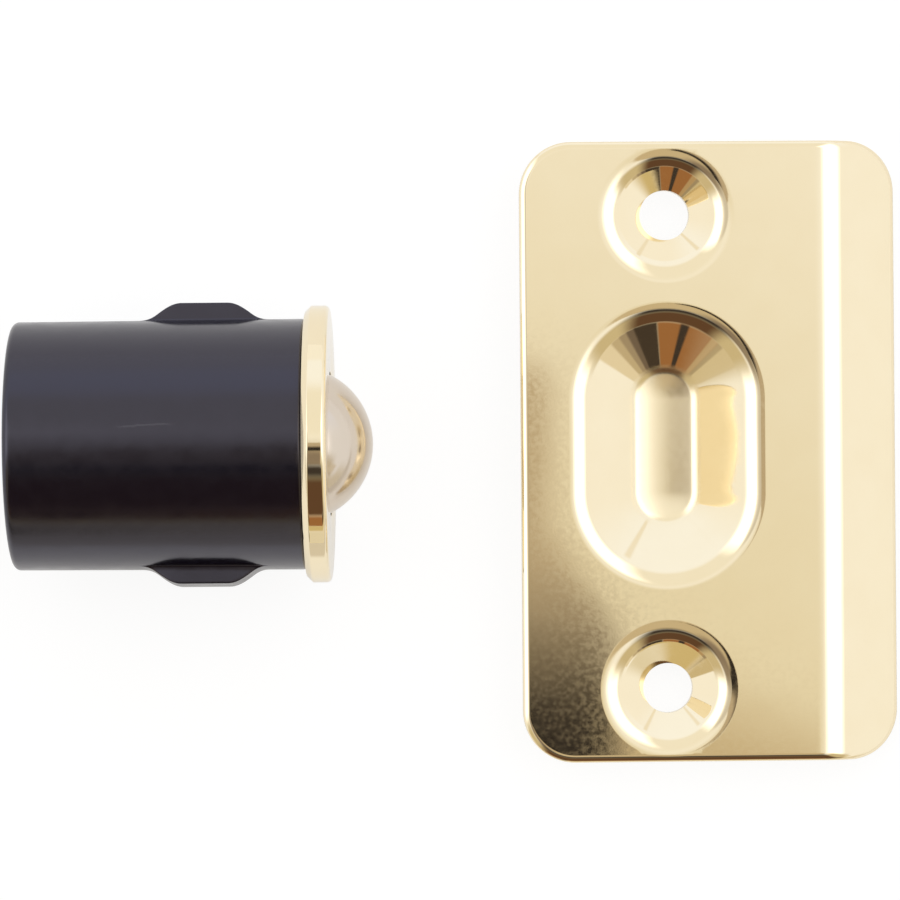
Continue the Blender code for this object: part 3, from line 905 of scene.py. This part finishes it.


# Light: a white world with coloured patches, laid out by direction and matched to what
# the metal mirrors in the photo. The camera sees plain white in its place.


class Sky:
    """Builds the world's colour from patches. An azimuth is in degrees from +X towards +Y, and a
    tilt is in degrees from straight up."""

    def __init__(self, tree):
        self.tree = tree
        direction = add(tree, "ShaderNodeTexCoord").outputs["Generated"]
        parts = add(tree, "ShaderNodeSeparateXYZ", {0: direction})
        self.x, self.y, z = parts.outputs
        self.tilt = maths(tree, "DEGREES", maths(tree, "ARCCOSINE", z))
        flat = maths(tree, "SQRT", maths(tree, "ADD", self.squared(self.x), self.squared(self.y)))
        scale = maths(tree, "DIVIDE", self.tilt, maths(tree, "MAXIMUM", flat, 1e-5))
        # Degrees of tilt towards +X and towards +Y
        self.east = maths(tree, "MULTIPLY", self.x, scale)
        self.north = maths(tree, "MULTIPLY", self.y, scale)
        self.azimuth = maths(tree, "DEGREES", maths(tree, "ARCTAN2", self.y, self.x))
        self.colour = None

    def squared(self, value):
        return maths(self.tree, "MULTIPLY", value, value)

    def base(self, colour):
        self.colour = colour

    def paint(self, mask, colour):
        self.colour = mix_colours(self.tree, mask, self.colour, colour)

    def band(self, value, low, high, soft_low, soft_high):
        """1 between low and high, fading to 0 outside over the two soft widths."""
        rise = ramp_between(self.tree, value, low - soft_low, low + soft_low)
        fall = ramp_between(self.tree, value, high - soft_high, high + soft_high)
        return maths(self.tree, "MULTIPLY", rise, maths(self.tree, "SUBTRACT", 1.0, fall))

    def azimuth_from(self, centre):
        """Degrees of azimuth from this one, positive anticlockwise seen from above."""
        off = maths(self.tree, "SUBTRACT", self.azimuth, centre)
        return maths(self.tree, "WRAP", off, 180.0, -180.0)

    def between(self, tilts, soft_tilt):
        return self.band(self.tilt, tilts[0], tilts[1], soft_tilt[0], soft_tilt[1])

    def sector(self, colour, azimuth, width, along, soft_azimuth, soft_tilt=None):
        """A patch this wide to each side of an azimuth, between two tilts or where a mask is."""
        off = self.azimuth_from(azimuth)
        across = self.band(off, -width, width, soft_azimuth, soft_azimuth)
        if soft_tilt:
            along = self.between(along, soft_tilt)
        self.paint(maths(self.tree, "MULTIPLY", across, along), colour)

    def ellipse(self, colour, centre, size, turn, soft, strength=1.0):
        """A soft-edged ellipse near the zenith. Centre and half sizes are in degrees, and turn
        is the angle of its first size from +X."""
        c, s = math.cos(math.radians(turn)), math.sin(math.radians(turn))
        de = maths(self.tree, "SUBTRACT", self.east, centre[0])
        dn = maths(self.tree, "SUBTRACT", self.north, centre[1])
        first = maths(
            self.tree,
            "ADD",
            maths(self.tree, "MULTIPLY", de, c / size[0]),
            maths(self.tree, "MULTIPLY", dn, s / size[0]),
        )
        second = maths(
            self.tree,
            "SUBTRACT",
            maths(self.tree, "MULTIPLY", dn, c / size[1]),
            maths(self.tree, "MULTIPLY", de, s / size[1]),
        )
        reach = maths(
            self.tree, "SQRT", maths(self.tree, "ADD", self.squared(first), self.squared(second))
        )
        mask = ramp_between(self.tree, reach, 1.0 + soft, 1.0 - soft)
        if strength != 1.0:
            mask = maths(self.tree, "MULTIPLY", mask, strength)
        self.paint(mask, colour)

    def camera_block(self, colour, deep_colour):
        """The dark camera overhead: a block that is deeper towards the near side, and whose
        right side leans out there. All of its numbers but the slope are degrees of tilt."""
        slope, right_at_middle = -0.67, 2.56
        right_least, right_most, right_soft = 3.22, 4.0, 0.14
        lean = maths(self.tree, "MULTIPLY_ADD", self.north, slope, right_at_middle)
        limit = maths(self.tree, "MAXIMUM", lean, right_least)
        limit = maths(self.tree, "MINIMUM", limit, right_most)
        high = maths(self.tree, "ADD", limit, right_soft)
        low = maths(self.tree, "SUBTRACT", limit, right_soft)
        mask = ramp_between(self.tree, self.east, high, low)
        for value, outside, inside in (
            (self.east, -7.0, -6.0),
            (self.north, 1.25, 0.75),
            (self.north, -6.2, -4.8),
        ):
            side = ramp_between(self.tree, value, outside, inside)
            mask = maths(self.tree, "MULTIPLY", mask, side)
        deep_from, deep_to = -1.0, -3.5
        share = ramp_between(self.tree, self.north, deep_from, deep_to)
        self.paint(mask, mix_colours(self.tree, share, colour, deep_colour))


NEAR = -90.0
FAR = 90.0
RIGHT = 0.0
LEFT = 180.0
WHITE = (1.0, 1.0, 1.0)
BRIGHT = (1.8, 1.8, 1.8)
BROWN = (0.12, 0.064, 0.035)
ORANGE = (0.335, 0.155, 0.06)
DARK = (0.05, 0.04, 0.034)
TAN = (0.62, 0.53, 0.34)
# What the near side shows at 62 to 72 degrees of tilt, by azimuth from straight near
STREAKS = (
    (0.0, 62.0, (0.8, 0.72, 0.56)),
    (-52.0, 12.0, (0.62, 0.52, 0.32)),
    (44.0, 5.0, (0.55, 0.46, 0.31)),
    (38.0, 4.0, (0.37, 0.3, 0.21)),
    (32.0, 4.0, (0.17, 0.13, 0.1)),
    (-42.0, 3.0, (0.36, 0.29, 0.19)),
    (-36.0, 4.0, (0.46, 0.32, 0.17)),
    (-10.5, 22.5, ORANGE),
    (21.0, 9.0, (0.06, 0.045, 0.034)),
    (-9.5, 3.5, DARK),
)


def build_world():
    world = bpy.data.worlds.new("studio")
    bpy.context.scene.world = world
    world.use_nodes = True
    tree = world.node_tree
    tree.nodes.clear()
    sky = Sky(tree)
    sky.base(WHITE)
    sky.sector((0.94, 0.92, 0.86), FAR, 60, (8, 50), 25, (6, 8))
    sky.sector((1.02, 1.06, 1.15), FAR, 60, (50, 74), 25, (8, 2))
    for side in (-37, 37):
        sky.sector((0.92, 0.88, 0.8), FAR + side, 2.5, (66, 84), 1.5, (4, 4))
    sky.ellipse((0.83, 0.78, 0.64), (1.0, -6.0), (10.0, 9.0), 0, 0.5)
    sky.sector(BRIGHT, RIGHT + 18, 38, (15, 49), 10, (4, 6))
    sky.sector(BRIGHT, LEFT - 16, 32, (14, 54), 10, (4, 6))
    sky.ellipse((0.6, 0.5, 0.34), (1.5, -10.5), (10.0, 8.0), 0, 0.08)
    sky.ellipse((0.27, 0.215, 0.165), (-9.5, -11.5), (7.5, 8.0), 0, 0.4)
    sky.ellipse((0.36, 0.3, 0.22), (-12.3, 0.5), (6.5, 11.0), 0, 0.22, 0.5)
    # What stands on the near side: a dark figure over the table, warm lower down
    sky.sector(TAN, NEAR, 68, (24, 64), 12, (6, 4))
    sky.sector(BROWN, NEAR, 34, (28, 64), 9, (5, 3))
    sky.sector(DARK, NEAR, 36, (18, 29), 12, (3, 5))
    streak_band = sky.between((62, 72), (2.5, 0.5))
    for azimuth, width, colour in STREAKS:
        sky.sector(colour, NEAR + azimuth, width, streak_band, 1.3)
    sky.sector((0.64, 0.52, 0.27), NEAR, 45, (72, 77.5), 12, (0.5, 1.5))
    sky.sector((0.78, 0.72, 0.58), NEAR, 62, (77.5, 95), 12, (1.5, 2))
    sky.sector((0.28, 0.25, 0.19), NEAR - 21, 15, (80, 97), 1.5, (2, 2))
    sky.camera_block((0.52, 0.43, 0.31), (0.03, 0.025, 0.022))
    emission = add(tree, "ShaderNodeBackground", {"Color": sky.colour, "Strength": 1.0})
    plain = add(tree, "ShaderNodeBackground", {"Color": (1.0, 1.0, 1.0, 1.0), "Strength": 1.0})
    seen = add(tree, "ShaderNodeLightPath").outputs["Is Camera Ray"]
    mixed = add(tree, "ShaderNodeMixShader", {0: seen, 1: emission.outputs[0], 2: plain.outputs[0]})
    add(tree, "ShaderNodeOutputWorld", {"Surface": mixed.outputs[0]})


def make_floor():
    """A plain white floor. What looks at it sees it mostly by its own even light, so that it
    is white, with a soft share of the shadow. A mirror shows less of that light."""
    own_light = 0.85
    mirrored_light = 0.4
    even_strength = 1.05
    paint = (0.93, 0.93, 0.93, 1.0)
    # Painted shade: the warmer, darker colour that mirrors see on the near part of the table, and
    # where it fades in
    mirrored_shade_colour = (0.42, 0.34, 0.21)
    mirrored_shade_from, mirrored_shade_to = -0.06, -0.085  # in y
    material = bpy.data.materials.new("floor")
    material.use_nodes = True
    tree = material.node_tree
    tree.nodes.clear()
    diffuse = add(tree, "ShaderNodeBsdfDiffuse", {"Color": paint})
    path = add(tree, "ShaderNodeLightPath")
    # Painted shade: in a mirror the near part of the table is warmer and darker, in place of the
    # shade there
    place = add(tree, "ShaderNodeTexCoord").outputs["Object"]
    _, north, _ = add(tree, "ShaderNodeSeparateXYZ", {0: place}).outputs
    near = ramp_between(tree, north, mirrored_shade_from, mirrored_shade_to)
    near = maths(tree, "MULTIPLY", near, path.outputs["Is Glossy Ray"])
    colour = mix_colours(tree, near, WHITE, mirrored_shade_colour)
    even = add(tree, "ShaderNodeEmission", {"Color": colour, "Strength": even_strength})
    seen, through = path.outputs["Is Camera Ray"], path.outputs["Is Transmission Ray"]
    looking = maths(tree, "MAXIMUM", seen, through)
    mirrored = maths(tree, "MULTIPLY", path.outputs["Is Glossy Ray"], mirrored_light)
    share = maths(tree, "MAXIMUM", maths(tree, "MULTIPLY", looking, own_light), mirrored)
    mixed = add(tree, "ShaderNodeMixShader", {0: share, 1: diffuse.outputs[0], 2: even.outputs[0]})
    add(tree, "ShaderNodeOutputMaterial", {"Surface": mixed.outputs[0]})
    mesh = bpy.data.meshes.new("floor")
    size = 3.0
    corners = [(-size, -size, 0), (size, -size, 0), (size, size, 0), (-size, size, 0)]
    mesh.from_pydata(corners, [], [(0, 1, 2, 3)])
    mesh.materials.append(material)
    floor = add_object("floor", mesh, Matrix.Translation((0.0, 0.0, cad_box[0][2])))


def make_camera():
    data = bpy.data.cameras.new("camera")
    data.lens = CAMERA_LENS
    data.sensor_width = CAMERA_SENSOR
    data.clip_start = 0.01
    camera = bpy.data.objects.new("camera", data)
    bpy.context.scene.collection.objects.link(camera)
    target = Vector((strike_low.x - CAMERA_FROM_STRIKE, CAMERA_RISE, strike_high.z))
    turn = Matrix.Rotation(-CAMERA_TILT, 4, "Y") @ Matrix.Rotation(-CAMERA_ROLL, 4, "Z")
    camera.matrix_world = (
        Matrix.Translation(target) @ turn @ Matrix.Translation((0.0, 0.0, CAMERA_DISTANCE))
    )
    bpy.context.scene.camera = camera


def dress(piece, material, body, node):
    piece.data.materials.append(material)
    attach(piece, body)
    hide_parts(node)


def main():
    make_camera()
    build_world()
    make_floor()
    brass = brass_material()
    dress(make_barrel(), black_plastic_material(), "housing", "barrel")
    dress(make_ring(), brass, "housing", "face_ring")
    dress(make_strike(), brass, "housing", "strike_plate")
    dress(make_ball(), ball_steel_material(), "ball", "ball")
    spring = make_spring()
    dress(spring, spring_steel_material(), "spring", "spring")
    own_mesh(spring)
    bpy.context.scene.view_settings.view_transform = "Standard"


main()
